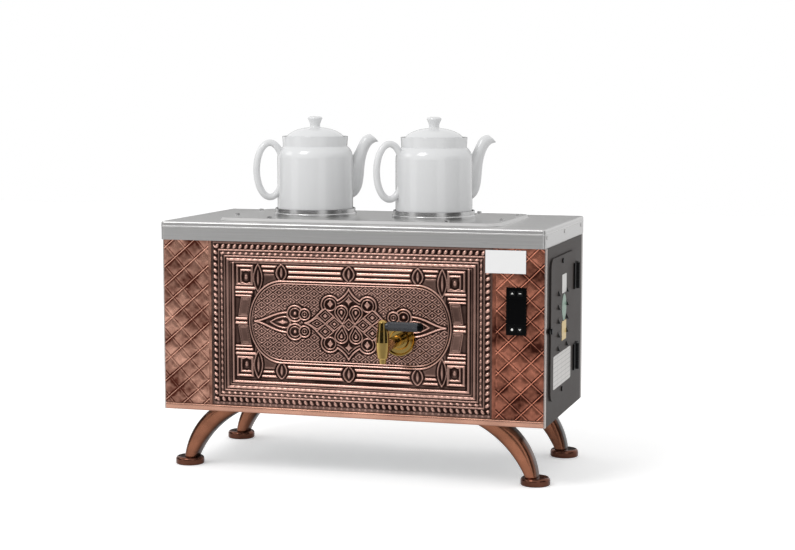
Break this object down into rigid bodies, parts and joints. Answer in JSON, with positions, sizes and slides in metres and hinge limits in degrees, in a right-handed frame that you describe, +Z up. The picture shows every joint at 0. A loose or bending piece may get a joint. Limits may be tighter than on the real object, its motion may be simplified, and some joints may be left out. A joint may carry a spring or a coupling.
{
  "type": "tea urn",
  "caption": "Counter-top tea urn: a water boiler with an embossed copper front, a lever tap, bowed legs, a hinged service door and lidded porcelain teapots on steam rings.",
  "frame": {"origin": "under the middle of the urn's bounding box, on the surface that it stands on", "axes": "+Z up, +X to the right of someone facing the tap, +Y from the tap side to the back"},
  "size_m": [0.6536, 0.4336, 0.5797],
  "materials": {
    "casing_steel": "satin",
    "side_paint": "fine hammered satin",
    "galvanised": "matt zinc",
    "copper": "antiqued copper, polished ridges over dark hollows",
    "copper_paint": "antiqued copper lacquer",
    "blank_plate": "plain satin",
    "tray_steel": "fine brushed",
    "tank_steel": "mill finish",
    "chrome": "polished",
    "rubber": "matt",
    "brass": "polished",
    "insulation": "mineral wool faced with foil",
    "black_plastic": "matt",
    "black_gloss": "gloss",
    "dark_window": "gloss",
    "white_plastic": "satin",
    "lever_plastic": "satin slate grey",
    "label": "satin film",
    "porcelain": "glazed white"
  },
  "bodies": {
    "urn": {"front_frame": "casing_steel", "back_panel": "casing_steel", "left_side_panel": "side_paint", "right_side_panel": "side_paint", "base_pan": "galvanised", "embossed_front_panel": "copper", "diamond_strip_left": "copper", "diamond_strip_right": "copper", "lower_front_trim": "copper", "name_plate": "blank_plate", "top_tray": "tray_steel", "raised_plate": "tray_steel", "plate_nuts": "chrome", "tray_rivets": "tray_steel", "pot_ring_left": "chrome", "pot_ring_right": "chrome", "water_tank": "tank_steel", "tank_gasket": "rubber", "heating_element": "tank_steel", "element_nut": "brass", "temperature_probe": "tank_steel", "insulation_jacket": "insulation", "divider_panel": "galvanised", "relay": "black_plastic", "terminal_block": "white_plastic", "cable_gland": "black_plastic", "limit_thermostat": "black_plastic", "drain_plug": "brass", "controller_housing": "black_plastic", "controller_bezel": "black_gloss", "controller_window": "dark_window", "tap_rosette": "brass", "tap_body": "brass", "tap_seal": "rubber", "tap_locknut": "brass", "hinge_fixed_leaves": "black_plastic", "hinge_pins": "chrome", "front_left_leg": "copper_paint", "front_right_leg": "copper_paint", "back_left_leg": "copper_paint", "back_right_leg": "copper_paint", "foot_discs": "copper_paint", "leg_bolts": "chrome"},
    "door": {"side_door": "side_paint", "door_seal": "rubber", "hinge_door_leaves": "black_plastic", "door_labels": "label", "door_screws": "black_plastic"},
    "tap_handle": {"tap_plug": "brass", "tap_hub": "brass", "tap_lever": "lever_plastic"},
    "latch": {"door_latch": "black_plastic"},
    "upper_left_button": {"upper_left_button": "black_plastic"},
    "upper_right_button": {"upper_right_button": "black_plastic"},
    "lower_left_button": {"lower_left_button": "black_plastic"},
    "lower_right_button": {"lower_right_button": "black_plastic"},
    "teapot_left": {"teapot_left": "porcelain"},
    "lid_left": {"teapot_lid_left": "porcelain"},
    "teapot_right": {"teapot_right": "porcelain"},
    "lid_right": {"teapot_lid_right": "porcelain"}
  },
  "joints": [
    {"name": "door_hinge", "type": "hinge", "parent": "urn", "child": "door", "pos_m": [0.32285, 0.1138, 0.25], "axis": [0, 0, 1], "range_deg": [0, 110]},
    {"name": "tap_turn", "type": "hinge", "parent": "urn", "child": "tap_handle", "pos_m": [0.08205, -0.2062, 0.24], "axis": [0, 0, 1], "range_deg": [-90, 0]},
    {"name": "latch_turn", "type": "hinge", "parent": "urn", "child": "latch", "pos_m": [0.31985, -0.0932, 0.25], "axis": [1, 0, 0], "range_deg": [0, 180]},
    {"name": "upper_left_button_press", "type": "slide", "parent": "urn", "child": "upper_left_button", "axis": [0, 1, 0], "range_m": [0, 0.001], "stiffness_N_per_m": 300},
    {"name": "upper_right_button_press", "type": "slide", "parent": "urn", "child": "upper_right_button", "axis": [0, 1, 0], "range_m": [0, 0.001], "stiffness_N_per_m": 300},
    {"name": "lower_left_button_press", "type": "slide", "parent": "urn", "child": "lower_left_button", "axis": [0, 1, 0], "range_m": [0, 0.001], "stiffness_N_per_m": 300},
    {"name": "lower_right_button_press", "type": "slide", "parent": "urn", "child": "lower_right_button", "axis": [0, 1, 0], "range_m": [0, 0.001], "stiffness_N_per_m": 300},
    {"name": "left_teapot_lift", "type": "slide", "parent": "urn", "child": "teapot_left", "axis": [0, 0, 1], "range_m": [0, 0.2]},
    {"name": "left_lid_lift", "type": "slide", "parent": "teapot_left", "child": "lid_left", "axis": [0, 0, 1], "range_m": [0, 0.12]},
    {"name": "right_teapot_lift", "type": "slide", "parent": "urn", "child": "teapot_right", "axis": [0, 0, 1], "range_m": [0, 0.2]},
    {"name": "right_lid_lift", "type": "slide", "parent": "teapot_right", "child": "lid_right", "axis": [0, 0, 1], "range_m": [0, 0.12]}
  ]
}
